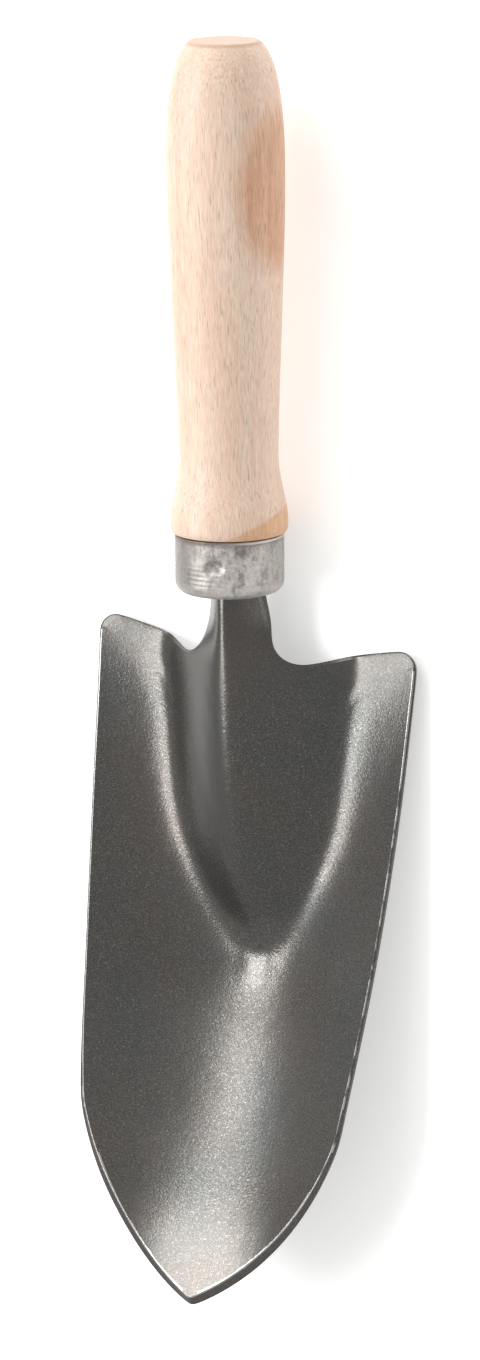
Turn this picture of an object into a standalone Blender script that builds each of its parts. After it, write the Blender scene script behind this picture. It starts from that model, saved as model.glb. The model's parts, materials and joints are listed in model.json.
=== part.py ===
# Garden trowel: a pressed steel blade with its tang, a drawn ferrule and a turned beech handle.
# The tool is drawn with its butt towards +Y, the hollow of its blade facing +Z and the
# ferrule's front face at y = 0. An empty then lays it on its back, as it rests on a bench.

import bpy
import bmesh
from math import acos, atan, atan2, cos, exp, hypot, pi, radians, sin, sqrt, tan
from mathutils import Vector, geometry

# Clearance between pieces that touch on the real tool
FIT_GAP = 0.0003

# Blade sheet, and the bevel ground on the front of its edge
SHEET_THICKNESS = 0.0015
SIDE_GRIND_WIDTH = 0.0006
TIP_GRIND_WIDTH = 0.0023
GRIND_SLOPE = 0.5
GRIND_GROWTH_START = 0.1050
GRIND_DEEPEST_SHARE = 0.75

# Blade outline: half widths from the middle, and reaches forward from the ferrule
NECK_HALF_WIDTH = 0.0078
NECK_FLARE = 0.15
NOTCH_RADIUS = 0.0078
SHOULDER_HALF_WIDTH = 0.0464
SHOULDER_REACH = 0.0119
SHOULDER_RAKE = radians(12.1)
SHOULDER_CORNER_RADIUS = 0.0045
BEND_HALF_WIDTH = 0.0381
BEND_REACH = 0.1320
BEND_TURN = radians(9.5)
SIDE_BULGE = 0.00135
NOSE_RADIUS = 0.0740
TIP_ROUND = 0.0008

# Rim heights over the handle's axis, at the shoulder, half way down the side, at the bend and at the tip
SHOULDER_RIM_HEIGHT = -0.0118
SIDE_RIM_HEIGHT = 0.0036
SIDE_RIM_SHARE = 0.665
BEND_RIM_HEIGHT = 0.0135
TIP_RIM_HEIGHT = 0.0209

# Hollow of the dish: it deepens from the shoulders forward and is deepest where the ridge ends
DISH_RADIUS = 0.0770
DISH_FULL_REACH = 0.1100
DISH_DEEPENING = 2.6
WELL_DEPTH = 0.0039
WELL_REACH = 0.0950
WELL_LENGTH = 0.0160

# Raised ridge from the neck down into the dish
CREST_HEIGHT = 0.0037
CREST_FALL = 0.0155
CREST_CURVE = 3.2
RIDGE_REACH = 0.0950
NECK_FOLD_ROUND = 0.0028
RIDGE_END_ROUND = 0.0130
ROUND_CURVE = 1.5
NECK_SIDE_SLOPE = 1.30
RIDGE_SIDE_SLOPE = 0.66
NECK_FLARE_START = 0.0060
NECK_FLARE_END = 0.0200
VALLEY_BLEND = 0.0030

# Tang inside the handle
TANG_LENGTH = 0.0600
TANG_TIP_HALF_WIDTH = 0.0022
TANG_TIP_CREST = 0.0012
TANG_TIP_SLOPE = 0.40

# Ferrule, held by one punched dimple
FERRULE_RADIUS = 0.01335
FERRULE_LENGTH = 0.0145
FERRULE_WALL = 0.0008
FERRULE_LIP = 0.0002
FERRULE_CORNER_RADIUS = 0.0029
DIMPLE_REACH = 0.0080
DIMPLE_ANGLE = radians(17.0)
DIMPLE_RADIUS = 0.0028
DIMPLE_DEPTH = 0.0011

# Handle
WOOD_LENGTH = 0.1197
BUTT_FACE_RADIUS = 0.0084
GRIP_RADIUS = 0.0144
GRIP_FROM_BUTT = 0.0305
WAIST_RADIUS = 0.01215
WAIST_FROM_RIM = 0.0192
RIM_RADIUS = 0.01445
RIM_ROUND_LENGTH = 0.0022
RIM_FACE_RADIUS = 0.0136

# Fineness of the meshes
SHEET_COLUMNS = 14
TANG_ROWS = 6
NECK_ROWS = 4
NOTCH_ROWS = 6
SHOULDER_ROWS = 6
CORNER_ROWS = 6
SIDE_ROWS = 20
NOSE_ROWS = 9
ROW_BEND = 0.35
NOSE_CORNER_SHARE = 0.70
COLUMN_CROWDING = 1.6
CORNER_POINTS = 6
BUTT_POINTS = 12
GRIP_POINTS = 9
RIM_POINTS = 5
TURNED_STEPS = 48
BALL_STEPS = 24
MERGE_DISTANCE = 0.00001


def mix(a, b, share):
    return a + (b - a) * share


def smooth_share(value, start, end):
    share = min(max((value - start) / (end - start), 0.0), 1.0)
    return share * share * (3.0 - 2.0 * share)


def curve_through(points, value):
    # Height at value on a smooth curve through a few (place, height) points
    slopes = []
    for (x0, y0), (x1, y1) in zip(points, points[1:]):
        slopes.append((y1 - y0) / (x1 - x0))
    tangents = []
    for i in range(1, len(slopes)):
        before = points[i][0] - points[i - 1][0]
        after = points[i + 1][0] - points[i][0]
        tangents.append((slopes[i - 1] * after + slopes[i] * before) / (before + after))
    tangents.insert(0, 2.0 * slopes[0] - tangents[0])
    tangents.append(2.0 * slopes[-1] - tangents[-1])
    i = 0
    while i < len(slopes) - 1 and value > points[i + 1][0]:
        i += 1
    (x0, y0), (x1, y1) = points[i], points[i + 1]
    step = x1 - x0
    t = (value - x0) / step
    rise = (2.0 * t ** 3 - 3.0 * t ** 2 + 1.0) * y0 + (3.0 * t ** 2 - 2.0 * t ** 3) * y1
    bend = (t ** 3 - 2.0 * t ** 2 + t) * tangents[i] + (t ** 3 - t ** 2) * tangents[i + 1]
    return rise + bend * step


def round_corner(corner, to_start, to_end, radius, count):
    # Points of the arc that rounds a corner between two directions leaving it
    a = Vector(to_start).normalized()
    b = Vector(to_end).normalized()
    half = acos(a.dot(b)) / 2.0
    centre = Vector(corner) + (a + b).normalized() * radius / sin(half)
    first = Vector(corner) + a * radius / tan(half) - centre
    last = Vector(corner) + b * radius / tan(half) - centre
    sweep = first.angle_signed(last)
    points = []
    for i in range(count):
        turn = -sweep * i / (count - 1)
        x = first.x * cos(turn) - first.y * sin(turn)
        y = first.x * sin(turn) + first.y * cos(turn)
        points.append((centre.x + x, centre.y + y))
    return points


# Blade outline, in (half width, reach)

def side_half_width(reach):
    share = (reach - SHOULDER_REACH) / (BEND_REACH - SHOULDER_REACH)
    taper = mix(SHOULDER_HALF_WIDTH, BEND_HALF_WIDTH, share)
    return taper + 4.0 * SIDE_BULGE * share * (1.0 - share)


def side_slope(share):
    fall = SHOULDER_HALF_WIDTH - BEND_HALF_WIDTH - 4.0 * SIDE_BULGE * (1.0 - 2.0 * share)
    return fall / (BEND_REACH - SHOULDER_REACH)


NOSE_START_ANGLE = atan(side_slope(1.0)) + BEND_TURN
NOSE_CENTRE_X = BEND_HALF_WIDTH - NOSE_RADIUS * cos(NOSE_START_ANGLE)
NOSE_CENTRE_REACH = BEND_REACH - NOSE_RADIUS * sin(NOSE_START_ANGLE)
TIP_ANGLE = acos((TIP_ROUND - NOSE_CENTRE_X) / NOSE_RADIUS)
TIP_REACH = NOSE_CENTRE_REACH + NOSE_RADIUS * sin(TIP_ANGLE)
NOSE_CORNER_ANGLE = mix(NOSE_START_ANGLE, TIP_ANGLE, NOSE_CORNER_SHARE)


def nose_point(angle, inset=0.0):
    radius = NOSE_RADIUS - inset
    return (NOSE_CENTRE_X + radius * cos(angle), NOSE_CENTRE_REACH + radius * sin(angle))


def nose_reach(x):
    # The two nose arcs would meet in a corner: keeping clear of the middle line rounds it
    return NOSE_CENTRE_REACH + sqrt(NOSE_RADIUS ** 2 - (hypot(x, TIP_ROUND) - NOSE_CENTRE_X) ** 2)


def outline_half_width(reach):
    if reach < BEND_REACH:
        return side_half_width(reach)
    rise = min((reach - NOSE_CENTRE_REACH) / NOSE_RADIUS, 1.0)
    return max(NOSE_CENTRE_X + NOSE_RADIUS * sqrt(1.0 - rise * rise), 0.0)


def grind_width(reach):
    return mix(SIDE_GRIND_WIDTH, TIP_GRIND_WIDTH, smooth_share(reach, GRIND_GROWTH_START, TIP_REACH))


def grind_drop(reach):
    return min(GRIND_SLOPE * grind_width(reach), GRIND_DEEPEST_SHARE * SHEET_THICKNESS)


# Heights of the sheet's front face over the handle's axis

def rim_height(reach):
    side_reach = mix(SHOULDER_REACH, BEND_REACH, SIDE_RIM_SHARE)
    points = (
        (SHOULDER_REACH, SHOULDER_RIM_HEIGHT),
        (side_reach, SIDE_RIM_HEIGHT),
        (BEND_REACH, BEND_RIM_HEIGHT),
        (TIP_REACH, TIP_RIM_HEIGHT),
    )
    return curve_through(points, reach)


def dish_height(x, reach):
    half_width = outline_half_width(reach)
    deepening = 1.0 - (1.0 - min(max(reach / DISH_FULL_REACH, 0.0), 1.0)) ** DISH_DEEPENING
    hollow = (half_width ** 2 - x ** 2) / (2.0 * DISH_RADIUS) * deepening
    inside = max(1.0 - (x / max(half_width, MERGE_DISTANCE)) ** 2, 0.0)
    well = WELL_DEPTH * inside ** 2 * exp(-((reach - WELL_REACH) / WELL_LENGTH) ** 2)
    return rim_height(reach) - hollow - well


def fold_height(x, crest, slope, rounding):
    return crest - slope * (hypot(x, rounding) - rounding)


def ridge_height(x, reach):
    share = reach / RIDGE_REACH
    crest = CREST_HEIGHT - CREST_FALL * share ** CREST_CURVE
    rounding = mix(NECK_FOLD_ROUND, RIDGE_END_ROUND, min(share, 1.0) ** ROUND_CURVE)
    flare = smooth_share(reach, NECK_FLARE_START, NECK_FLARE_END)
    return fold_height(x, crest, mix(NECK_SIDE_SLOPE, RIDGE_SIDE_SLOPE, flare), rounding)


def tang_height(x, reach):
    share = -reach / TANG_LENGTH
    crest = mix(CREST_HEIGHT, TANG_TIP_CREST, share)
    return fold_height(x, crest, mix(NECK_SIDE_SLOPE, TANG_TIP_SLOPE, share), NECK_FOLD_ROUND)


def sheet_height(x, reach):
    if reach <= 0.0:
        return tang_height(x, reach)
    ridge = ridge_height(x, reach)
    dish = dish_height(x, reach)
    return (ridge + dish + hypot(ridge - dish, VALLEY_BLEND)) / 2.0


def tang_half_width(reach):
    return mix(NECK_HALF_WIDTH, TANG_TIP_HALF_WIDTH, -reach / TANG_LENGTH)


def tang_reach_from_axis(reach):
    # Distance of the tang's outermost corner from the handle's axis
    x = tang_half_width(reach)
    z = tang_height(x, reach)
    slope = mix(NECK_SIDE_SLOPE, TANG_TIP_SLOPE, -reach / TANG_LENGTH)
    back = SHEET_THICKNESS / hypot(1.0, slope)
    return max(hypot(x, z), hypot(x, z - back), tang_height(0.0, reach))


# Rows of the sheet: each runs from a place on the middle line to a point of the outline

def side_walk():
    # Rows from the tang's point, round the notch and the shoulder, down the side and along the nose
    rows = []
    for i in range(TANG_ROWS):
        reach = -TANG_LENGTH * (1.0 - i / TANG_ROWS)
        rows.append((reach, (tang_half_width(reach), reach)))

    notch_reach = (SHOULDER_REACH + tan(SHOULDER_RAKE) * (SHOULDER_HALF_WIDTH - NECK_HALF_WIDTH))
    notch_reach /= 1.0 + tan(SHOULDER_RAKE) * NECK_FLARE
    notch_corner = (NECK_HALF_WIDTH + NECK_FLARE * notch_reach, notch_reach)
    up_neck = (-NECK_FLARE, -1.0)
    along_shoulder = (cos(SHOULDER_RAKE), -sin(SHOULDER_RAKE))
    notch = round_corner(notch_corner, up_neck, along_shoulder, NOTCH_RADIUS, NOTCH_ROWS + 1)

    shoulder_corner = (SHOULDER_HALF_WIDTH, SHOULDER_REACH)
    back_along_shoulder = (-cos(SHOULDER_RAKE), sin(SHOULDER_RAKE))
    down_side = (-side_slope(0.0), 1.0)
    corner = round_corner(
        shoulder_corner, back_along_shoulder, down_side, SHOULDER_CORNER_RADIUS, CORNER_ROWS + 1)

    neck_end = notch[0][1]
    for i in range(NECK_ROWS):
        reach = neck_end * i / NECK_ROWS
        rows.append((reach, (NECK_HALF_WIDTH + NECK_FLARE * reach, reach)))

    edge = list(notch)
    for i in range(1, SHOULDER_ROWS):
        share = i / SHOULDER_ROWS
        edge.append((mix(notch[-1][0], corner[0][0], share), mix(notch[-1][1], corner[0][1], share)))
    edge += corner
    fan_rows = len(edge)
    for i in range(1, SIDE_ROWS + 1):
        reach = mix(corner[-1][1], BEND_REACH, i / SIDE_ROWS)
        edge.append((side_half_width(reach), reach))
    for i in range(1, NOSE_ROWS):
        edge.append(nose_point(mix(NOSE_START_ANGLE, NOSE_CORNER_ANGLE, i / NOSE_ROWS)))
    corner_grind = grind_width(nose_point(NOSE_CORNER_ANGLE)[1])
    edge.append(nose_point(NOSE_CORNER_ANGLE - corner_grind / NOSE_RADIUS))

    # Rows fan out from the notch, so the middle line's places run on well past the shoulders
    fan_end = corner[-1][1] + SHOULDER_HALF_WIDTH
    inner_tip = inner_tip_reach()
    for i, point in enumerate(edge):
        if i < fan_rows:
            middle = mix(neck_end, fan_end, i / (fan_rows - 1))
        else:
            middle = mix(fan_end, inner_tip, (i - fan_rows + 1) / (len(edge) - fan_rows))
        rows.append((middle, point))
    return rows


def inner_tip_angle():
    return acos(-NOSE_CENTRE_X / (NOSE_RADIUS - TIP_GRIND_WIDTH))


def inner_tip_reach():
    return nose_point(inner_tip_angle(), TIP_GRIND_WIDTH)[1]


def inward_directions(edge):
    # Unit vectors square to the outline, into the sheet, one for each row
    after_last = nose_point(NOSE_CORNER_ANGLE + grind_width(TIP_REACH) / NOSE_RADIUS)
    extended = [(edge[0][0], 2.0 * edge[0][1] - edge[1][1])] + edge + [after_last]
    inward = []
    for i in range(len(edge)):
        along = (Vector(extended[i + 2]) - Vector(extended[i])).normalized()
        inward.append(Vector((-along.y, along.x)))
    return inward


def row_curve(middle, inset, inward, square, bow):
    # Control points of a row: it crosses the middle line at a right angle and, as far as square
    # says, the outline too; bow flattens it to a chord for the row that follows the nose
    start = Vector((0.0, middle))
    chord = inset - start
    bend = ROW_BEND * chord.length
    arrival = (inward * square - chord.normalized()).normalized()
    first = (start + Vector((bend, 0.0))).lerp(start.lerp(inset, 1.0 / 3.0), bow)
    second = (inset + arrival * bend).lerp(start.lerp(inset, 2.0 / 3.0), bow)
    return start, first, second, inset


def curve_point(corners, share):
    a, b, c, d = corners
    rest = 1.0 - share
    return a * rest ** 3 + b * 3.0 * rest ** 2 * share + c * 3.0 * rest * share ** 2 + d * share ** 3


def column_shares(half_width):
    # Columns crowd towards the crest where the blade is wide and lie evenly in the narrow neck
    wide = smooth_share(half_width, 0.2 * SHOULDER_HALF_WIDTH, 0.9 * SHOULDER_HALF_WIDTH)
    power = mix(1.0, COLUMN_CROWDING, wide)
    last = SHEET_COLUMNS - 1
    return [(i / last) ** power for i in range(SHEET_COLUMNS)]


def sheet_points():
    # Front face of the right half of the blade, row by row, each point (x, reach, height, is_rim)
    rows = side_walk()
    edge = [point for middle, point in rows]
    inward = inward_directions(edge)
    width_at_corner = grind_width(nose_point(NOSE_CORNER_ANGLE)[1])
    last_inset = Vector(nose_point(NOSE_CORNER_ANGLE, width_at_corner))
    last_shares = column_shares(last_inset.x)

    # The last row follows the nose, and the rows before it bow more and more like it
    bows = []
    for share in last_shares:
        angle = mix(inner_tip_angle(), NOSE_CORNER_ANGLE, share)
        arc = Vector(nose_point(angle, mix(TIP_GRIND_WIDTH, width_at_corner, share)))
        bows.append(arc - Vector((0.0, inner_tip_reach())).lerp(last_inset, share))

    notch_end = TANG_ROWS + NECK_ROWS + NOTCH_ROWS
    fan_end = notch_end + SHOULDER_ROWS + CORNER_ROWS
    first_nose_row = len(rows) - NOSE_ROWS - SIDE_ROWS // 2
    grid = []
    for i, (middle, outline) in enumerate(rows):
        width = grind_width(outline[1])
        inset = last_inset if i == len(rows) - 1 else Vector(outline) + inward[i] * width
        square = 1.0 - smooth_share(i, notch_end, fan_end)
        bow = smooth_share(i, first_nose_row, len(rows) - 1)
        corners = row_curve(middle, inset, inward[i], square, bow)
        line = []
        for share, sideways in zip(column_shares(inset.x), bows):
            x, reach = curve_point(corners, share) + sideways * bow
            line.append((x, reach, sheet_height(x, reach), False))
        x, reach = outline
        line.append((x, reach, sheet_height(x, reach) - grind_drop(reach), True))
        grid.append(line)

    line = []
    start = NOSE_CORNER_ANGLE + width_at_corner / NOSE_RADIUS
    for share in last_shares:
        x = mix(0.0, nose_point(start)[0], share)
        reach = nose_reach(x)
        line.append((x, reach, sheet_height(x, reach) - grind_drop(reach), True))
    x, reach = nose_point(NOSE_CORNER_ANGLE)
    line.append((x, reach, sheet_height(x, reach) - grind_drop(reach), True))
    grid.append(line)
    return grid


# Building helpers

def new_material(name, colour, roughness, metallic):
    material = bpy.data.materials.new(name)
    material.use_nodes = True
    shader = material.node_tree.nodes["Principled BSDF"]
    shader.inputs["Base Color"].default_value = (*colour, 1.0)
    shader.inputs["Roughness"].default_value = roughness
    shader.inputs["Metallic"].default_value = metallic
    return material


def add_object(name, mesh, collection, parent, material=None):
    piece = bpy.data.objects.new(name, mesh)
    collection.objects.link(piece)
    piece.parent = parent
    if material:
        mesh.materials.append(material)
    return piece


def add_turned(name, profile, closed, collection, parent, material=None):
    # Profile points are (radius, place along the handle's axis), outer side from the butt end down
    mesh = bpy.data.meshes.new(name)
    edges = [(i, i + 1) for i in range(len(profile) - 1)]
    if closed:
        edges.append((len(profile) - 1, 0))
    mesh.from_pydata([(radius, 0.0, place) for radius, place in profile], edges, [])
    piece = add_object(name, mesh, collection, parent, material)
    piece.rotation_euler.x = -pi / 2.0
    screw = piece.modifiers.new("Turn", "SCREW")
    screw.steps = TURNED_STEPS
    screw.render_steps = TURNED_STEPS
    screw.use_merge_vertices = True
    screw.merge_threshold = MERGE_DISTANCE
    screw.use_smooth_shade = True
    return piece


def add_ball(name, radius, place, collection, parent):
    mesh = bpy.data.meshes.new(name)
    bm = bmesh.new()
    bmesh.ops.create_uvsphere(bm, u_segments=BALL_STEPS, v_segments=BALL_STEPS // 2, radius=radius)
    bm.to_mesh(mesh)
    bm.free()
    ball = add_object(name, mesh, collection, parent)
    ball.location = place
    hide_cutter(ball)
    return ball


def hide_cutter(piece):
    piece.hide_render = True
    piece.display_type = "WIRE"


def add_boolean(piece, operation, cutter):
    boolean = piece.modifiers.new(operation.title(), "BOOLEAN")
    boolean.operation = operation
    boolean.solver = "EXACT"
    boolean.object = cutter


def arc_profile(centre, radius, start, end):
    points = []
    for i in range(CORNER_POINTS):
        angle = mix(start, end, i / (CORNER_POINTS - 1))
        points.append((centre[0] + radius * cos(angle), centre[1] + radius * sin(angle)))
    return points


def bezier_span(start, start_handle, end_handle, end, count):
    corners = [Vector((x, y, 0.0)) for x, y in (start, start_handle, end_handle, end)]
    return [(point.x, point.y) for point in geometry.interpolate_bezier(*corners, count)]


# Pieces

def build_blade(collection, parent):
    grid = sheet_points()
    columns = SHEET_COLUMNS + 1
    bm = bmesh.new()
    bmesh.ops.create_grid(bm, x_segments=columns - 1, y_segments=len(grid) - 1, size=1.0)
    rims = []
    for vert in bm.verts:
        column = round((vert.co.x + 1.0) / 2.0 * (columns - 1))
        row = round((1.0 - vert.co.y) / 2.0 * (len(grid) - 1))
        x, reach, height, is_rim = grid[row][column]
        vert.co = (x, -reach, height)
        if is_rim:
            rims.append((vert.index, reach))
    mesh = bpy.data.meshes.new("blade")
    bm.to_mesh(mesh)
    bm.free()

    steel = new_material("painted_steel", (0.105, 0.096, 0.087), 0.42, 0.7)
    blade = add_object("blade", mesh, collection, parent, steel)
    thickness = blade.vertex_groups.new(name="thickness")
    thickness.add(range(len(mesh.vertices)), 1.0, "REPLACE")
    for index, reach in rims:
        thickness.add([index], 1.0 - grind_drop(reach) / SHEET_THICKNESS, "REPLACE")
    mesh.shade_smooth()

    mirror = blade.modifiers.new("Mirror", "MIRROR")
    mirror.merge_threshold = MERGE_DISTANCE
    solidify = blade.modifiers.new("Sheet", "SOLIDIFY")
    solidify.thickness = SHEET_THICKNESS
    solidify.offset = -1.0
    solidify.vertex_group = thickness.name
    return blade


def build_ferrule(collection, cutters, parent):
    centre_radius = FERRULE_RADIUS - FERRULE_CORNER_RADIUS
    centre = (centre_radius, FERRULE_CORNER_RADIUS)
    opening = tang_reach_from_axis(0.0) + FIT_GAP
    lip = FERRULE_LIP
    inner_radius = FERRULE_RADIUS - FERRULE_WALL
    profile = [(FERRULE_RADIUS - lip, FERRULE_LENGTH), (FERRULE_RADIUS, FERRULE_LENGTH - lip)]
    profile += arc_profile(centre, FERRULE_CORNER_RADIUS, 0.0, -pi / 2.0)
    profile += [(opening + lip, 0.0), (opening, lip), (opening, FERRULE_WALL)]
    profile += arc_profile(centre, FERRULE_CORNER_RADIUS - FERRULE_WALL, -pi / 2.0, 0.0)
    profile += [(inner_radius, FERRULE_LENGTH - lip), (inner_radius + lip, FERRULE_LENGTH)]
    zinc = new_material("bright_zinc", (0.62, 0.61, 0.59), 0.35, 1.0)
    ferrule = add_turned("ferrule", profile, True, collection, parent, zinc)

    # The dimple is pressed inwards, so the wall bulges in as deep as it is dented outside
    across = FERRULE_RADIUS + DIMPLE_RADIUS - DIMPLE_DEPTH
    place = (across * sin(DIMPLE_ANGLE), DIMPLE_REACH, across * cos(DIMPLE_ANGLE))
    bulge = add_ball("dimple_bulge", DIMPLE_RADIUS + FERRULE_WALL, place, cutters, parent)
    middle_of_wall = FERRULE_RADIUS - 0.5 * FERRULE_WALL
    core = add_turned(
        "dimple_core",
        [(0.0, FERRULE_LENGTH), (middle_of_wall, FERRULE_LENGTH), (middle_of_wall, 0.0), (0.0, 0.0)],
        False, cutters, parent)
    hide_cutter(core)
    dent = add_ball("dimple_dent", DIMPLE_RADIUS, place, cutters, parent)
    recess = add_ball("dimple_recess", DIMPLE_RADIUS + FERRULE_WALL + FIT_GAP, place, cutters, parent)
    add_boolean(bulge, "INTERSECT", core)
    add_boolean(ferrule, "UNION", bulge)
    add_boolean(ferrule, "DIFFERENCE", dent)
    return ferrule, recess


def build_handle(collection, cutters, parent, recess):
    rim = FERRULE_LENGTH + FIT_GAP
    butt = rim + WOOD_LENGTH
    grip = butt - GRIP_FROM_BUTT
    waist = rim + WAIST_FROM_RIM
    lip = rim + RIM_ROUND_LENGTH
    spigot_radius = FERRULE_RADIUS - FERRULE_WALL - FIT_GAP
    spigot_end = FERRULE_WALL + FIT_GAP
    corner_radius = FERRULE_CORNER_RADIUS - FERRULE_WALL - FIT_GAP
    corner = (FERRULE_RADIUS - FERRULE_CORNER_RADIUS, FERRULE_CORNER_RADIUS)

    profile = [(0.0, butt)]
    profile += bezier_span(
        (BUTT_FACE_RADIUS, butt),
        (mix(BUTT_FACE_RADIUS, GRIP_RADIUS, 0.63), butt - 0.07 * GRIP_FROM_BUTT),
        (GRIP_RADIUS, butt - 0.41 * GRIP_FROM_BUTT),
        (GRIP_RADIUS, grip), BUTT_POINTS)
    profile += bezier_span(
        (GRIP_RADIUS, grip),
        (GRIP_RADIUS, mix(grip, waist, 0.28)),
        (WAIST_RADIUS, mix(grip, waist, 0.86)),
        (WAIST_RADIUS, waist), GRIP_POINTS)[1:]
    profile += bezier_span(
        (WAIST_RADIUS, waist),
        (WAIST_RADIUS, mix(waist, lip, 0.45)),
        (RIM_RADIUS, mix(waist, lip, 0.62)),
        (RIM_RADIUS, lip), GRIP_POINTS)[1:]
    profile += bezier_span(
        (RIM_RADIUS, lip),
        (RIM_RADIUS, mix(lip, rim, 0.7)),
        (mix(RIM_RADIUS, RIM_FACE_RADIUS, 0.3), rim),
        (RIM_FACE_RADIUS, rim), RIM_POINTS)[1:]
    profile.append((spigot_radius, rim))
    profile += arc_profile(corner, corner_radius, 0.0, -pi / 2.0)
    profile.append((0.0, spigot_end))
    beech = new_material("beech", (0.74, 0.55, 0.42), 0.55, 0.0)
    handle = add_turned("handle", profile, False, collection, parent, beech)

    # The bore follows the tang, a gap wider all round, and opens through the spigot's end
    mouth = tang_reach_from_axis(0.0) + FIT_GAP
    end = tang_reach_from_axis(-TANG_LENGTH) + FIT_GAP
    bore_end = TANG_LENGTH + FIT_GAP
    bore = add_turned(
        "tang_bore",
        [(0.0, bore_end), (end, bore_end), (mouth, 0.0), (0.0, 0.0)],
        False, cutters, parent)
    hide_cutter(bore)
    add_boolean(handle, "DIFFERENCE", bore)
    add_boolean(handle, "DIFFERENCE", recess)
    return handle


# Resting place

def outline_from_side(pieces, parent):
    # Every point of the tool as (place along it, height), before it is laid down
    graph = bpy.context.evaluated_depsgraph_get()
    to_tool = parent.matrix_world.inverted()
    points = []
    for piece in pieces:
        evaluated = piece.evaluated_get(graph)
        matrix = to_tool @ evaluated.matrix_world
        points += [matrix @ vert.co for vert in evaluated.to_mesh().vertices]
    return points


def resting_tilt(points):
    # The tool balances over the middle of its ridge, so it lies on the side of the hull under that
    hull = []
    for y, z in sorted((point.y, point.z) for point in points):
        while len(hull) > 1:
            (y1, z1), (y2, z2) = hull[-2], hull[-1]
            if (y2 - y1) * (z - z1) - (z2 - z1) * (y - y1) > 0.0:
                break
            hull.pop()
        hull.append((y, z))
    for (y1, z1), (y2, z2) in zip(hull, hull[1:]):
        if y1 <= -RIDGE_REACH / 2.0 <= y2:
            return -atan2(z2 - z1, y2 - y1)
    return 0.0


def lay_down(pieces, parent):
    points = outline_from_side(pieces, parent)
    tilt = resting_tilt(points)
    parent.rotation_euler.x = tilt
    ys = [point.y * cos(tilt) - point.z * sin(tilt) for point in points]
    zs = [point.y * sin(tilt) + point.z * cos(tilt) for point in points]
    parent.location = (0.0, -(min(ys) + max(ys)) / 2.0, -min(zs))


def main():
    for piece in list(bpy.data.objects):
        bpy.data.objects.remove(piece, do_unlink=True)
    collection = bpy.data.collections.new("garden_trowel")
    cutters = bpy.data.collections.new("cutters")
    bpy.context.scene.collection.children.link(collection)
    bpy.context.scene.collection.children.link(cutters)
    tool = bpy.data.objects.new("trowel_frame", None)
    collection.objects.link(tool)

    blade = build_blade(collection, tool)
    ferrule, recess = build_ferrule(collection, cutters, tool)
    handle = build_handle(collection, cutters, tool, recess)
    bpy.context.view_layer.update()
    lay_down((blade, ferrule, handle), tool)
    bpy.context.view_layer.update()


main()
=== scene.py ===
import bpy
import json
from math import atan2, cos, exp, pi, radians, sin
from mathutils import Matrix, Vector
from mathutils.bvhtree import BVHTree


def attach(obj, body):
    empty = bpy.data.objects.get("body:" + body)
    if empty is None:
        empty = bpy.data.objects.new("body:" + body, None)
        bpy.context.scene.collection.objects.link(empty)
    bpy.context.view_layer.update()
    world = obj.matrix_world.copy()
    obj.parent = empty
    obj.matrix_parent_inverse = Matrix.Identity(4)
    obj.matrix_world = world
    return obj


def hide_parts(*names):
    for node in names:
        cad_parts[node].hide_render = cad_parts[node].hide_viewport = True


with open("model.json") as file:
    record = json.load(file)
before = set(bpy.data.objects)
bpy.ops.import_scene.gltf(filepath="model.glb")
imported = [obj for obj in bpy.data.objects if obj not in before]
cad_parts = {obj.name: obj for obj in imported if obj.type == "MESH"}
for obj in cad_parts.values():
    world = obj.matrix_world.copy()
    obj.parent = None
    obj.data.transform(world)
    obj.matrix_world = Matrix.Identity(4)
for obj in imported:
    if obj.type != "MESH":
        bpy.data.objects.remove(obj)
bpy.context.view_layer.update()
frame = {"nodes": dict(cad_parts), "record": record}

print("garden trowel: frame loaded")

# The trowel's own frame: x across the blade, y along the handle towards its butt, z out of the
# hollow side, with the ferrule's front face at 0. Shapes are given in metres in that frame, and
# textures in millimetres.
handleReach = 0.1345
millimetre = 0.001
buttMount = next(m for m in frame["record"]["mounts"] if m["name"] == "butt_face")
alongTool = Vector(buttMount["axis"]).normalized()
acrossTool = Vector((1.0, 0.0, 0.0))
outOfTool = acrossTool.cross(alongTool)
toolStart = Vector(buttMount["pos_m"]) - alongTool * handleReach
toolTilt = atan2(alongTool.z, alongTool.y)
toolTurn = Matrix((acrossTool, alongTool, outOfTool)).transposed()
toolPlace = Matrix.Translation(toolStart) @ toolTurn.to_4x4()
worldToTool = toolPlace.inverted()


# Materials

class Wire:
    # One output socket; arithmetic on it adds the Math nodes it needs
    def __init__(self, finish, socket):
        self.finish = finish
        self.socket = socket

    def maths(self, operation, *values):
        return self.finish.node("Math", {"operation": operation}, dict(enumerate(values)))

    def __add__(self, other):
        return self.maths("ADD", self, other)

    def __radd__(self, other):
        return self.maths("ADD", other, self)

    def __sub__(self, other):
        return self.maths("SUBTRACT", self, other)

    def __rsub__(self, other):
        return self.maths("SUBTRACT", other, self)

    def __mul__(self, other):
        return self.maths("MULTIPLY", self, other)

    def __rmul__(self, other):
        return self.maths("MULTIPLY", other, self)

    def __truediv__(self, other):
        return self.maths("DIVIDE", self, other)

    def __abs__(self):
        return self.maths("ABSOLUTE", self)

    def most(self, other):
        return self.maths("MAXIMUM", self, other)

    def offMiddle(self):
        # How far a noise is from its middle value
        return self - 0.5


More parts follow.
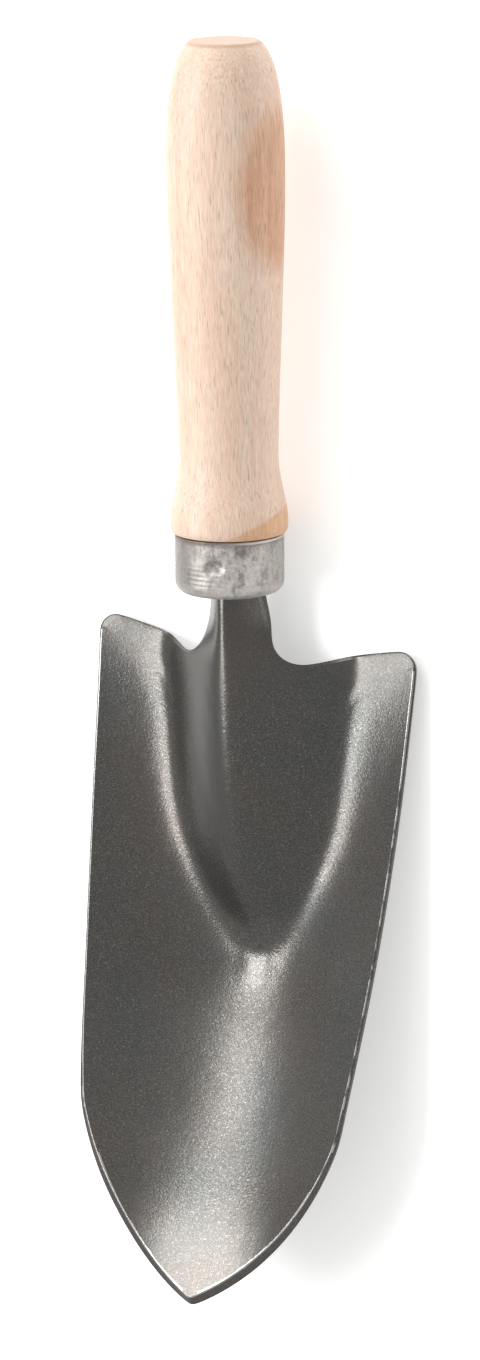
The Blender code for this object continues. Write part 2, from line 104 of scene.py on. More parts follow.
class Finish:
    # One material on a Principled shader
    def __init__(self, name, constants=None):
        self.material = bpy.data.materials.new(name)
        self.material.use_nodes = True
        self.tree = self.material.node_tree
        self.shader = self.tree.nodes["Principled BSDF"]
        for socket, value in (constants or {}).items():
            self.set(socket, value)

    def node(self, kind, settings=None, sockets=None, output=0):
        made = self.tree.nodes.new("ShaderNode" + kind)
        for name, value in (settings or {}).items():
            setattr(made, name, value)
        for name, value in (sockets or {}).items():
            self.feed(made.inputs[name], value)
        return Wire(self, made.outputs[output])

    def feed(self, socket, value):
        if isinstance(value, Wire):
            self.tree.links.new(value.socket, socket)
        else:
            socket.default_value = value

    def set(self, socket, value):
        self.feed(self.shader.inputs[socket], value)

    def toolCoordinates(self, stretch=(1.0, 1.0, 1.0), slant=0.0, turn=0.0):
        # Millimetres in the trowel's frame, each divided by a stretch
        place = self.node("TexCoord", output="Object")
        return self.node("Mapping", {"vector_type": "TEXTURE"}, {
            "Vector": place,
            "Location": toolStart,
            "Rotation": (toolTilt, turn, slant),
            "Scale": [millimetre * share for share in stretch],
        })

    def axes(self, vector):
        # Its x, y and z, each as a number
        return [self.node("SeparateXYZ", {}, {0: vector}, output=i) for i in range(3)]

    def noise(self, vector, scale, detail=2.0, roughness=0.5, distortion=0.0):
        return self.node("TexNoise", {}, {
            "Vector": vector,
            "Scale": scale,
            "Detail": detail,
            "Roughness": roughness,
            "Distortion": distortion,
        })

    def stretchedNoise(self, size, slant=0.0, turn=0.0, **settings):
        # Noise with its own size along each axis, in millimetres
        return self.noise(self.toolCoordinates(size, slant, turn), 1.0, **settings)

    def smooth(self, value, low, high):
        # 0 at low, 1 at high, eased
        return self.node("MapRange", {"interpolation_type": "SMOOTHSTEP"}, {
            "Value": value,
            "From Min": low,
            "From Max": high,
        })

    def window(self, value, rise, fall):
        # 1 between two eased edges
        return self.smooth(value, *rise) - self.smooth(value, *fall)

    def blend(self, share, first, second):
        # Mix two colours
        return self.node("Mix", {"data_type": "RGBA"}, {0: share, 6: first, 7: second}, output=2)

    def scale(self, colour, factor):
        return self.node("VectorMath", {"operation": "SCALE"}, {0: colour, "Scale": factor})

    def bump(self, height):
        # A height in millimetres
        self.set("Normal", self.node("Bump", {}, {
            "Strength": 1.0,
            "Distance": millimetre,
            "Height": height,
        }))


def toTheRight(x, z, turn):
    # How far right a place is on the tool, seen from an angle round its axis
    return x * cos(turn) - z * sin(turn)


def outTowards(x, z, turn):
    # How far out it stands in that direction
    return x * sin(turn) + z * cos(turn)


# Camera, floor and light

photo = {
    "size": (480, 1360),
    "turn": radians(33.0),          # round the handle's axis, towards the blade's right side
    "rise": radians(13.3),          # towards the butt
    "roll": radians(0.58),
    "distance": 1.5,
    "pixelsPerMetre": 4100.0,       # at the ferrule's front face
    "ferrulePixel": (230.0, 590.0),
    "sensor": 36.0,
    "furthest": 20.0,
}


def addCamera():
    width, height = photo["size"]
    turn, rise, roll = photo["turn"], photo["rise"], photo["roll"]
    back = toolTurn @ Vector((sin(turn) * cos(rise), sin(rise), cos(turn) * cos(rise)))
    right = toolTurn @ Vector((cos(turn), 0.0, -sin(turn)))
    up = back.cross(right)
    rolledRight = right * cos(roll) - up * sin(roll)
    rolledUp = right * sin(roll) + up * cos(roll)
    x = photo["ferrulePixel"][0] - width / 2.0
    y = height / 2.0 - photo["ferrulePixel"][1]
    aside = (rolledRight * x + rolledUp * y) / photo["pixelsPerMetre"]
    bpy.ops.object.camera_add(location=toolStart + back * photo["distance"] - aside)
    camera = bpy.context.object
    camera.name = "photoCamera"
    camera.rotation_euler = Matrix((rolledRight, rolledUp, back)).transposed().to_euler()
    focal = photo["pixelsPerMetre"] * photo["distance"]        # in pixels
    camera.data.sensor_width = photo["sensor"]
    camera.data.lens = focal * photo["sensor"] / height
    camera.data.clip_end = photo["furthest"]
    bpy.context.scene.camera = camera


studio = {
    "middle": (0.0, -0.03, 0.0),
    "roomColour": (1.0, 1.0, 1.0, 1.0),
    "roomLight": 0.60,
    "floorSize": 6.0,
    "floorDrop": 0.0002,            # just under the blade
    "floorColour": (0.86, 0.86, 0.85, 1.0),
    "floorRoughness": 0.9,
    "floorGlow": 0.50,              # a lit table, which keeps the shadow soft
    "boxes": (
        # name, direction from the trowel, distance, width, height, watts
        ("keyBox", (-0.570, 0.10, 0.812), 1.20, 0.50, 0.91, 10.6),
        ("topBox", (-0.31, 0.82, 0.49), 1.20, 0.91, 0.60, 6.3),
        ("sideBox", (0.93, -0.23, 0.28), 1.40, 0.16, 0.90, 1.1),
    ),
}


def addFloor():
    bpy.ops.mesh.primitive_plane_add(
        size=studio["floorSize"], location=(0.0, 0.0, -studio["floorDrop"]))
    floor = bpy.context.object
    floor.name = "paleFloor"
    floor.data.materials.append(Finish("paleFloor", {
        "Base Color": studio["floorColour"],
        "Roughness": studio["floorRoughness"],
        "Emission Color": studio["floorColour"],
        "Emission Strength": studio["floorGlow"],
    }).material)


def addLights():
    middle = toolPlace @ Vector(studio["middle"])
    for name, direction, distance, width, height, watts in studio["boxes"]:
        toward = (toolTurn @ Vector(direction)).normalized()
        across = alongTool.cross(toward).normalized()          # the height runs along the tool
        turned = Matrix((across, toward.cross(across), toward)).transposed()
        bpy.ops.object.light_add(type="AREA", location=middle + toward * distance)
        lamp = bpy.context.object
        lamp.name = name
        lamp.rotation_euler = turned.to_euler()
        lamp.data.shape = "RECTANGLE"
        lamp.data.size = width
        lamp.data.size_y = height
        lamp.data.energy = watts
    room = bpy.data.worlds.new("studioRoom")
    bpy.context.scene.world = room
    room.use_nodes = True
    background = room.node_tree.nodes["Background"]
    background.inputs["Color"].default_value = studio["roomColour"]
    background.inputs["Strength"].default_value = studio["roomLight"]
    bpy.context.scene.view_settings.view_transform = "Standard"


addCamera()
addFloor()
addLights()
print("camera, floor and lights set")


# Modelling helpers

joining = {
    "copyGap": 0.00001,             # vertices of a CAD copy this near become one
    "shellGap": 0.000005,           # and those of a turned shell
    "faceAngle": radians(60.0),     # triangles this flat to each other may be joined
    "shapeAngle": radians(120.0),
}


def ramp(value, low, high):
    return min(max((value - low) / (high - low), 0.0), 1.0)


def between(table, key):
    # Values of a table's rows, straight between one row and the next
    if key <= table[0][0]:
        return table[0][1:]
    for low, high in zip(table, table[1:]):
        if key <= high[0]:
            share = (key - low[0]) / (high[0] - low[0])
            return tuple(a + (b - a) * share for a, b in zip(low[1:], high[1:]))
    return table[-1][1:]


def heldBack(move, room):
    # A move that eases off before it uses up the room there is
    return move * (room / max((move ** 4 + room ** 4) ** 0.25, 1e-9))


def selectOnly(piece):
    for other in bpy.context.selected_objects:
        other.select_set(False)
    piece.select_set(True)
    bpy.context.view_layer.objects.active = piece


def applyModifier(piece, kind, **settings):
    selectOnly(piece)
    modifier = piece.modifiers.new(kind.title(), kind)
    for name, value in settings.items():
        setattr(modifier, name, value)
    bpy.ops.object.modifier_apply(modifier=modifier.name)


def copyNode(node, name):
    # A merged copy of a CAD node, its triangles joined back into four-sided faces
    source = frame["nodes"][node]
    piece = bpy.data.objects.new(name, source.data.copy())
    bpy.context.scene.collection.objects.link(piece)
    piece.data.materials.clear()
    selectOnly(piece)
    bpy.ops.mesh.customdata_custom_splitnormals_clear()
    bpy.ops.object.mode_set(mode="EDIT")
    bpy.ops.mesh.select_all(action="SELECT")
    bpy.ops.mesh.remove_doubles(threshold=joining["copyGap"])
    bpy.ops.mesh.tris_convert_to_quads(
        face_threshold=joining["faceAngle"], shape_threshold=joining["shapeAngle"],
        topology_influence=1.0)
    bpy.ops.object.mode_set(mode="OBJECT")
    return piece


def softenEdges(piece, sharpest, width):
    # Bevel the edges that are sharper than an angle
    selectOnly(piece)
    bpy.ops.object.mode_set(mode="EDIT")
    bpy.ops.mesh.select_mode(type="EDGE")
    bpy.ops.mesh.select_all(action="DESELECT")
    bpy.ops.mesh.edges_select_sharp(sharpness=sharpest)
    bpy.ops.mesh.bevel(offset=width, segments=2, profile=0.5, clamp_overlap=True)
    bpy.ops.object.mode_set(mode="OBJECT")


def turnedShell(name, segments, profile):
    # A ring is extruded along a profile of (radius, place on the y axis) and closed on itself
    radius, place = profile[0]
    bpy.ops.object.select_all(action="DESELECT")
    bpy.ops.mesh.primitive_circle_add(
        vertices=segments, radius=radius, location=(0.0, place, 0.0), rotation=(pi / 2.0, 0.0, 0.0))
    piece = bpy.context.object
    piece.name = name
    bpy.ops.object.transform_apply(location=True, rotation=True, scale=True)
    bpy.ops.object.mode_set(mode="EDIT")
    bpy.ops.mesh.select_all(action="SELECT")
    for nextRadius, nextPlace in profile[1:]:
        bpy.ops.mesh.extrude_region_move(
            TRANSFORM_OT_translate={"value": (0.0, nextPlace - place, 0.0)})
        growth = nextRadius / radius
        bpy.ops.transform.resize(
            value=(growth, 1.0, growth), center_override=(0.0, nextPlace, 0.0))
        radius, place = nextRadius, nextPlace
    bpy.ops.mesh.select_all(action="SELECT")
    bpy.ops.mesh.remove_doubles(threshold=joining["shellGap"])
    bpy.ops.mesh.normals_make_consistent(inside=False)
    bpy.ops.object.mode_set(mode="OBJECT")
    return piece


def placeInWorld(piece):
    # From the trowel's own frame to its resting place
    selectOnly(piece)
    piece.matrix_world = toolPlace
    bpy.ops.object.transform_apply(location=True, rotation=True, scale=True)


def finishPiece(piece, node):
    selectOnly(piece)
    bpy.ops.object.shade_smooth()
    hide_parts(node)
    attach(piece, "root")
    print(piece.name, "done:", len(piece.data.polygons), "faces")


# Blade

bladeLook = {
    "edgeRound": 0.00024,
    "edgeAngle": radians(28.0),

    # where the crest between wing and hollow runs, how far in it moves and how far up:
    # (place ahead of the ferrule, half width, inward, up)
    "crest": (
        (0.012, 0.0335, 0.0000, 0.0009),
        (0.020, 0.0335, 0.0030, 0.0007),
        (0.028, 0.0332, 0.0050, 0.0004),
        (0.035, 0.0325, 0.0054, 0.0001),
        (0.042, 0.0315, 0.0035, 0.0000),
        (0.050, 0.0290, 0.0024, 0.0000),
        (0.060, 0.0265, 0.0008, 0.0000),
        (0.068, 0.0235, 0.0009, 0.0000),
        (0.080, 0.0190, 0.0026, 0.0000),
        (0.088, 0.0140, 0.0020, 0.0000),
        (0.098, 0.0100, 0.0000, 0.0000),
    ),
    "crestSpread": 0.0085,
    "crestFade": 0.004,             # it moves in less, this near the rim
    "rimHalfWidth": 0.0462,

    # small pushes on the sheet: (height, place ahead of the ferrule, its reach, width either side)
    "pushes": (
        (-0.00080, 0.0868, 0.0070, 0.0170),
        (-0.00130, 0.1250, 0.0260, 0.0330),
        (0.00145, 0.1740, 0.0240, 0.0270),
    ),
    "floorGap": 0.00005,
    "leastMove": 0.000002,

    # the valley on either side of the ridge: where its rounding sets in and ends ahead of the
    # ferrule, where it sets in beside the ridge, and its outer side, which draws in
    "valleyTop": (0.014, 0.030),
    "valleyFoot": 0.106,
    "valleyFootFade": 0.012,
    "valleyRidge": (0.0030, 0.0045),
    "valleyHalfWidth": 0.0375,
    "valleyTaper": 0.25,
    "valleyTaperStart": 0.03,
    "valleySideFade": 0.005,
    "valleyShare": 0.5,
    "valleyRounds": 9,

    # the cut edge, tipped outwards past the shoulders' tops, along the sides and at the nose
    "rimDrop": 0.00034,
    "rimFade": (0.014, 0.022),
    "rimTop": 0.017,
    "rimSide": 0.034,
    "rimNose": 0.125,
    "wallRise": 0.5,                # a wall's normal points up or down by less than this
    "landRise": 0.6,                # and that of the sheet beside it points up by more

    # the strip beside it where the paint is rubbed through to the steel
    "rubWidth": 0.00032,
    "rubRise": 0.75,
    "rubSize": 5.0,
    "rubEdge": (0.26, 0.40),
    "rubLess": 0.14,                # rubbed less along the lower right side
    "rubLessAcross": (20.0, 30.0),
    "rubLessAlong": (-36.0, -46.0),
    "bareSteel": (0.78, 0.765, 0.74, 1.0),
    "bareShare": 0.42,

    "paint": (0.100, 0.0950, 0.0885, 1.0),
    "paintWarm": (0.104, 0.0945, 0.0865, 1.0),
    "paintCool": (0.093, 0.0925, 0.0885, 1.0),
    "metallic": 0.78,
    "roughness": 0.255,

    # sizes and depths of the paint's texture, and what it does to the colour and the gloss
    "grainSize": 0.36,
    "grainDepth": 0.022,
    "waveSize": 0.60,
    "waveStretch": (1.4, 1.0, 1.0),
    "waveTwist": 0.3,
    "waveDepth": 0.038,
    "waveShade": 0.25,
    "waveLowest": -0.10,            # hollows darken no further than this
    "waveGloss": 0.12,
    "lumpSize": 5.5,
    "lumpDepth": 0.06,
    "flakeSize": 0.288,
    "flakeShade": 2.2,
    "flakeLowest": -0.12,
    "flakeGloss": 0.12,
    "sparkWave": 0.5,
    "sparkEdge": (0.13, 0.24),
    "sparkShade": 0.6,
    "darkest": 0.25,
    "patchSize": 26.0,
    "coolEdge": (0.36, 0.50),
    "warmEdge": (0.52, 0.66),

    # where the texture is calmer: the ridge's left flank and both ends of the blade
    "flankAcross": ((-17.0, -12.0), (-1.2, 0.0)),
    "flankAlong": ((-75.0, -55.0), (-12.0, -5.0)),
    "flankCalm": 0.75,
    "topCalmAlong": (-32.0, -18.0),
    "noseCalmAlong": (-148.0, -162.0),
    "endCalm": 0.42,

    # wear: soil scours the dish; the tip and the ridge's foot are paler, a painted highlight, and
    # the shoulders darker, a painted shade
    "dishAlong": ((-98.0, -112.0), (-138.0, -154.0)),
    "dishRough": 0.06,
    "tipAlong": (-148.0, -163.0),
    "tipHighlight": 0.17,
    "tipGloss": 0.02,
    "footAlong": ((-80.0, -88.0), (-98.0, -107.0)),
    "footAcross": (9.0, 18.0),
    "footHighlight": 0.15,
    "footGloss": 0.035,
    "shoulderAcross": (29.0, 36.0),
    "shoulderAlong": (-42.0, -26.0),
    "shoulderShade": 0.15,
}


def paintFinish(name, bare):
    # With bare, the paint is rubbed through to the steel in broken stretches
    look = bladeLook
    finish = Finish(name, {"Metallic": look["metallic"]})
    place = finish.toolCoordinates()
    x, y = finish.axes(place)[:2]

    # The press has drawn the ridge's left flank smooth
    flank = finish.window(x, *look["flankAcross"]) * finish.window(y, *look["flankAlong"])
    ends = finish.smooth(y, *look["topCalmAlong"]) + finish.smooth(y, *look["noseCalmAlong"])
    rough = (1.0 - look["flankCalm"] * flank) * (1.0 - look["endCalm"] * ends)

    # Fine metal flake, short squiggling waves that lie mostly across the blade, and slow lumps
    stretched = finish.toolCoordinates(look["waveStretch"])
    grain = finish.noise(place, 1.0 / look["grainSize"], detail=1.0)
    wave = finish.noise(
        stretched, 1.0 / look["waveSize"], detail=1.0, distortion=look["waveTwist"])
    lump = finish.noise(place, 1.0 / look["lumpSize"], detail=1.0)
    finish.bump(rough * (grain * look["grainDepth"] + wave * look["waveDepth"])
                + lump * look["lumpDepth"])

    # The tint wanders between brown and grey, and the flakes catch the light unevenly
    patch = finish.noise(place, 1.0 / look["patchSize"])
    colour = finish.blend(finish.smooth(patch, *look["coolEdge"]), look["paintCool"], look["paint"])
    colour = finish.blend(finish.smooth(patch, *look["warmEdge"]), colour, look["paintWarm"])
    flake = finish.noise(place, 1.0 / look["flakeSize"], detail=1.0).offMiddle()
    swell = wave.offMiddle()
    spark = finish.smooth(flake + look["sparkWave"] * swell, *look["sparkEdge"])
    shade = 1.0 + rough * (
        flake.most(look["flakeLowest"]) * look["flakeShade"]
        + swell.most(look["waveLowest"]) * look["waveShade"]
        + spark * look["sparkShade"])

    # Wear, with a painted highlight on the tip and the ridge's foot and a painted shade on the
    # shoulders
    tip = finish.smooth(y, *look["tipAlong"])
    dish = finish.window(y, *look["dishAlong"])
    shoulder = (finish.smooth(abs(x), *look["shoulderAcross"])
                * finish.smooth(y, *look["shoulderAlong"]))
    foot = finish.window(y, *look["footAlong"]) * (1.0 - finish.smooth(abs(x), *look["footAcross"]))
    # painted highlight brightens the tip and the ridge's foot, painted shade darkens the shoulders
    paintedLight = (1.0 + look["tipHighlight"] * tip + look["footHighlight"] * foot
            - look["shoulderShade"] * shoulder)
    colour = finish.scale(colour, shade.most(look["darkest"]) * paintedLight)
    if bare:
        rub = finish.noise(place, 1.0 / look["rubSize"], detail=3.0)
        lowerRight = (finish.smooth(x, *look["rubLessAcross"])
                      * finish.smooth(y, *look["rubLessAlong"]))
        through = finish.smooth(rub - look["rubLess"] * lowerRight, *look["rubEdge"])
        colour = finish.blend(through * look["bareShare"], colour, look["bareSteel"])
    finish.set("Base Color", colour)
    finish.set("Roughness", look["roughness"]
               - rough * (look["waveGloss"] * swell + look["flakeGloss"] * flake)
               + look["dishRough"] * dish - look["tipGloss"] * tip - look["footGloss"] * foot)
    return finish.material


def onSheet(place):
    # How far ahead of the ferrule a place is, and how far right of the blade's middle
    inTool = worldToTool @ place
    return -inTool.y, inTool.x


def moveSheet(blade, moves, axis):
    # Shift vertices along one axis, by signed distances
    furthest = max(abs(move) for move in moves)
    for way in (-1, 1):
        group = blade.vertex_groups.new(name="moved")
        for i, move in enumerate(moves):
            if move * way > bladeLook["leastMove"]:
                group.add([i], move * way / furthest, "REPLACE")
        applyModifier(blade, "DISPLACE", direction=axis, strength=way * furthest, mid_level=0.0,
                      vertex_group=group.name)


def easeSheet(blade):
    # The pressed hollow gets its pushes and its crest moves, both fading out towards the side
    # rims; the underside gives way to the floor it rests on
    look = bladeLook
    rim = look["rimHalfWidth"]
    inward, upward = [], []
    for vertex in blade.data.vertices:
        reach, across = onSheet(vertex.co)
        side = abs(across)
        halfWidth, shift, lift = between(look["crest"], reach)
        away = (side - halfWidth) / look["crestSpread"]
        nearRim = ramp(rim - side, 0.0, look["crestFade"])
        inward.append(-shift * exp(-away * away) * nearRim * (1.0 if across > 0.0 else -1.0))

        outer = (rim - side) / (rim - halfWidth)
        move = lift * max(min(outer, exp(-away * away) if side < halfWidth else 1.0), 0.0)
        for height, middle, length, width in look["pushes"]:
            along = (reach - middle) / length
            aside = side / width
            move += height * exp(-along * along) * max(1.0 - aside * aside, 0.0) ** 2
        if move < 0.0 and vertex.normal.z < 0.0:
            move = heldBack(move, max(vertex.co.z - look["floorGap"], 0.0))
        upward.append(move)
    moveSheet(blade, upward, "Z")
    moveSheet(blade, inward, "X")


def roundValley(blade):
    # The valley between ridge and dish is smoothed round
    look = bladeLook
    valley = blade.vertex_groups.new(name="valley")
    for vertex in blade.data.vertices:
        reach, across = onSheet(vertex.co)
        side = abs(across)
        drawnIn = look["valleyTaper"] * max(reach - look["valleyTaperStart"], 0.0)
        share = min(
            ramp(reach, *look["valleyTop"]),
            ramp(look["valleyFoot"] - reach, 0.0, look["valleyFootFade"]),
            ramp(side, *look["valleyRidge"]),
            ramp(look["valleyHalfWidth"] - drawnIn - side, 0.0, look["valleySideFade"]))
        if share > 0.0:
            valley.add([vertex.index], share, "REPLACE")
    applyModifier(blade, "SMOOTH", factor=look["valleyShare"], iterations=look["valleyRounds"],
                  vertex_group=valley.name)


def tipRim(blade):
    # The cut edge of the sheet is tipped outwards along the sides and the nose. The edges of
    # its inner arris come back, as a tree of flat triangles
    look = bladeLook
    walls, lands = set(), []
    for face in blade.data.polygons:
        if abs(face.normal.z) < look["wallRise"]:
            walls.update(face.vertices)
    for face in blade.data.polygons:
        reach, across = onSheet(face.center)
        onSide = abs(across) > look["rimSide"] and reach > look["rimTop"]
        if face.normal.z > look["landRise"] and (onSide or reach > look["rimNose"]):
            if any(i in walls for i in face.vertices):
                lands.append(tuple(face.vertices))

    dropped = {i for land in lands for i in land if i in walls}
    moves = [0.0] * len(blade.data.vertices)
    for i in dropped:
        reach = onSheet(blade.data.vertices[i].co)[0]
        moves[i] = -look["rimDrop"] * ramp(reach, *look["rimFade"])
    moveSheet(blade, moves, "Z")

    places = [vertex.co.copy() for vertex in blade.data.vertices]
    arris = [(i, j, j) for land in lands for i, j in zip(land, land[1:] + land[:1])
             if i not in walls and j not in walls]
    return BVHTree.FromPolygons(places, arris)


def rubArris(blade, arris):
    # The second material goes on a narrow strip along the arris
    look = bladeLook
    for face in blade.data.polygons:
        if face.normal.z > look["rubRise"]:
            if arris.find_nearest(face.center, look["rubWidth"])[0] is not None:
                face.material_index = 1


def makeBlade():
    blade = copyNode("blade", "paintedBlade")
    easeSheet(blade)
    roundValley(blade)
    arris = tipRim(blade)
    blade.data.materials.append(paintFinish("hammeredPaint", False))
    blade.data.materials.append(paintFinish("rubbedRim", True))
    softenEdges(blade, bladeLook["edgeAngle"], bladeLook["edgeRound"])
    applyModifier(blade, "SUBSURF", levels=1, render_levels=1)
    rubArris(blade, arris)
    finishPiece(blade, "blade")


makeBlade()


# Ferrule

ferruleLook = {
    "radius": 0.01335,
    "length": 0.0145,
    "wall": 0.0008,
    "corner": 0.0029,
    "opening": 0.00923,
    "lip": 0.00022,
    "flare": 0.00012,               # the rim turns out by this much
    "flareSpan": (0.0010, 0.0003),  # between these distances from its end
    "rimRound": (0.5, 0.3),         # its outer arris, in shares of the flare and of the lip
    "segments": 160,
    "rings": 76,
    "steps": 8,                     # round each corner, and up the inside

    # drawing marks round the front half
    "ripplePitch": 0.0012,
    "rippleDepth": 0.000030,
    "rippleEnd": 0.0092,
    "rippleFadeIn": 0.0004,
    "rippleFadeOut": 0.002,

    # the dimple, pulled in by a few vertices at its middle
    "dimpleReach": 0.0080,
    "dimpleTurn": radians(17.0),
    "dimpleDepth": 0.0009,
    "dimpleSpread": 0.0021,
    "seedHeight": 0.0002,
    "seedReach": 0.0012,
    "unevenSize": 0.0045,
    "unevenDepth": 0.00016,

    "zinc": (0.520, 0.485, 0.455, 1.0),
    "zincPale": (0.660, 0.630, 0.600, 1.0),
    "zincDark": (0.215, 0.195, 0.180, 1.0),
    "grimeAndShade": (0.150, 0.110, 0.085, 1.0),
    "metallic": 0.5,
    "roughness": 0.42,

    # smudges and scratches by size, blotches and flecks by their number in a millimetre
    "smudgeSize": (2.0, 5.5, 2.0),
    "smudgeEdge": (0.46, 0.66),
    "smudgeShare": 0.75,
    "smudgeRough": 0.30,
    "blotches": 0.9,
    "blotchDepth": 0.085,
    "blotchRough": 0.34,
    "paleEdge": (0.50, 0.64),
    "paleShare": 0.75,
    "darkEdge": (0.45, 0.32),
    "darkShare": 0.65,
    "scratchSize": (2.6, 0.16, 2.6),
    "scratchDepth": 0.012,
    "flecks": 3.4,
    "fleckDepth": 0.016,

    # painted shade: seen from the camera's side, the cup's colour is darker to the left and to the
    # right
    "leftPaintedShade": (-2.0, -9.5),
    "leftShare": 0.75,
    "rightPaintedShade": (3.0, 10.0),
    "rightShare": 0.48,

    # dirt under the wood, and one smudge of it lower down
    "dirtEdge": (12.8, 13.7),
    "dirtWander": 1.6,
    "dirtShare": 0.40,
    "spotTurn": radians(46.0),
    "spotAcross": (0.6, 2.4),
    "spotAcrossWander": 1.5,
    "spotAlong": (9.0, 12.6),
    "spotAlongWander": 3.0,
    "spotOut": (6.0, 9.0),
    "spotShare": 0.60,
    "spotRough": 0.12,

    # a painted highlight along the rim on the right and a painted shade along it on the left, and
    # the front corner is paler, a painted reflection of the floor
    "rimEdge": (13.75, 14.0),
    "rimHighlightSide": (-4.0, 5.0),
    "rimHighlightShare": 0.7,
    "rimLeftShadeShare": 0.5,
    "frontReflectionEdge": (1.2, 3.4),
    "frontReflectionShare": 0.35,
}


def zincFinish():
    look = ferruleLook
    finish = Finish("brightZinc", {"Metallic": look["metallic"]})
    place = finish.toolCoordinates()
    x, y, z = finish.axes(place)

    # Smudges run down the cup, with blotches and fine scratches over them
    smudge = finish.stretchedNoise(look["smudgeSize"], detail=3.0, roughness=0.6)
    blotch = finish.noise(place, look["blotches"], detail=4.0, roughness=0.65, distortion=0.6)
    scratch = finish.stretchedNoise(look["scratchSize"], detail=1.0)
    fleck = finish.noise(place, look["flecks"], detail=1.0)
    streaked = finish.smooth(smudge, *look["smudgeEdge"]) * look["smudgeShare"]
    pale = finish.smooth(blotch, *look["paleEdge"]) * look["paleShare"]
    dark = finish.smooth(blotch, *look["darkEdge"]) * look["darkShare"]
    colour = finish.blend(streaked, look["zinc"], look["zincDark"])
    colour = finish.blend(pale, colour, look["zincPale"])
    colour = finish.blend(dark, colour, look["zincDark"])

    # Painted shade, darker to the left and to the right as seen from the camera
    right = toTheRight(x, z, photo["turn"])
    leftPaintedShade = finish.smooth(right, *look["leftPaintedShade"]) * look["leftShare"]
    rightPaintedShade = finish.smooth(right, *look["rightPaintedShade"]) * look["rightShare"]
    colour = finish.blend(leftPaintedShade.most(rightPaintedShade), colour, look["zincDark"])

    # Dirt
    smudgeOff, blotchOff = smudge.offMiddle(), blotch.offMiddle()
    dirt = finish.smooth(y + look["dirtWander"] * blotchOff, *look["dirtEdge"])
    spotAside = toTheRight(x, z, look["spotTurn"]) + look["spotAcrossWander"] * smudgeOff
    spotReach = y + look["spotAlongWander"] * blotchOff
    spot = ((1.0 - finish.smooth(abs(spotAside), *look["spotAcross"]))
            * finish.smooth(spotReach, *look["spotAlong"])
            * finish.smooth(outTowards(x, z, look["spotTurn"]), *look["spotOut"]))
    dirty = (dirt * look["dirtShare"]).most(spot * look["spotShare"])
    colour = finish.blend(dirty, colour, look["grimeAndShade"])

    # Rim and front corner: painted highlight on the rim's right, painted shade on its left, and a
    # painted reflection of the floor on the front corner
    rim = finish.smooth(y, *look["rimEdge"])
    paintedRimHighlight = finish.smooth(right, *look["rimHighlightSide"])
    front = 1.0 - finish.smooth(y, *look["frontReflectionEdge"])
    colour = finish.blend(rim * paintedRimHighlight * look["rimHighlightShare"], colour, look["zincPale"])
    colour = finish.blend(rim * (1.0 - paintedRimHighlight) * look["rimLeftShadeShare"], colour, look["grimeAndShade"])
    # painted reflection of the floor, paler towards the front corner
    colour = finish.blend(front * look["frontReflectionShare"], colour, look["zincPale"])
    finish.set("Base Color", colour)
    finish.set("Roughness", look["roughness"] + look["blotchRough"] * blotchOff
               + look["smudgeRough"] * smudgeOff + look["spotRough"] * spot)
    finish.bump(blotch * look["blotchDepth"] + fleck * look["fleckDepth"]
                + scratch * look["scratchDepth"])
    return finish.material


def ferruleProfile():
    # (radius, place along the axis), from the rim down the outside and back up the inside
    look = ferruleLook
    radius, length, corner, opening = (
        look[k] for k in ("radius", "length", "corner", "opening"))
    wall, lip, depth, rings, steps = (
        look[k] for k in ("wall", "lip", "rippleDepth", "rings", "steps"))
    flareStart, flareEnd = (length - span for span in look["flareSpan"])
    top = length - lip

    def cornerPoint(size, step):
        angle = 0.5 * pi * step / steps
        return radius - corner + size * cos(angle), corner - size * sin(angle)

    outShare, downShare = look["rimRound"]
    profile = [
        (radius - lip, length),
        (radius + outShare * look["flare"], length - downShare * lip),
    ]
    for i in range(rings + 1):
        place = top + (corner - top) * i / rings
        ripple = (depth * ramp(look["rippleEnd"] - place, 0.0, look["rippleFadeOut"])
                  * ramp(place - corner, 0.0, look["rippleFadeIn"])
                  * sin(2.0 * pi * place / look["ripplePitch"]))
        flare = look["flare"] * ramp(place, flareStart, flareEnd)
        profile.append((radius + ripple + flare - depth, place))
    profile += [cornerPoint(corner, i) for i in range(1, steps + 1)]
    profile += [(opening + lip, 0.0), (opening, lip), (opening, wall)]
    profile += [cornerPoint(corner - wall, i) for i in range(steps, -1, -1)]
    profile += [(radius - wall, corner + (top - corner) * i / steps) for i in range(1, steps + 1)]
    profile += [(radius - wall + lip, length), profile[0]]
    return profile


def punchDimple(ferrule):
    # The dimple is punched in from outside, and the wall goes with it
    look = ferruleLook
    turn, radius = look["dimpleTurn"], look["radius"]
    middle = Vector((radius * sin(turn), look["dimpleReach"], radius * cos(turn)))
    inward = -Vector((sin(turn), 0.0, cos(turn)))
    bpy.ops.object.mode_set(mode="EDIT")
    bpy.ops.mesh.select_all(action="DESELECT")
    bpy.ops.object.mode_set(mode="OBJECT")
    for vertex in ferrule.data.vertices:
        away = vertex.co - middle
        if abs(away.y) < look["seedHeight"] and away.length < look["seedReach"]:
            vertex.select = True
    bpy.ops.object.mode_set(mode="EDIT")
    bpy.ops.transform.translate(
        value=inward * look["dimpleDepth"], use_proportional_edit=True,
        proportional_size=look["dimpleSpread"], proportional_edit_falloff="SMOOTH")
    bpy.ops.object.mode_set(mode="OBJECT")


def makeFerrule():
    look = ferruleLook
    ferrule = turnedShell("zincFerrule", look["segments"], ferruleProfile())
    punchDimple(ferrule)
    uneven = bpy.data.textures.new("unevenZinc", "CLOUDS")
    uneven.noise_scale = look["unevenSize"]
    applyModifier(ferrule, "DISPLACE", texture=uneven, strength=look["unevenDepth"], mid_level=0.5)
    placeInWorld(ferrule)
    ferrule.data.materials.append(zincFinish())
    finishPiece(ferrule, "ferrule")


makeFerrule()


# Handle

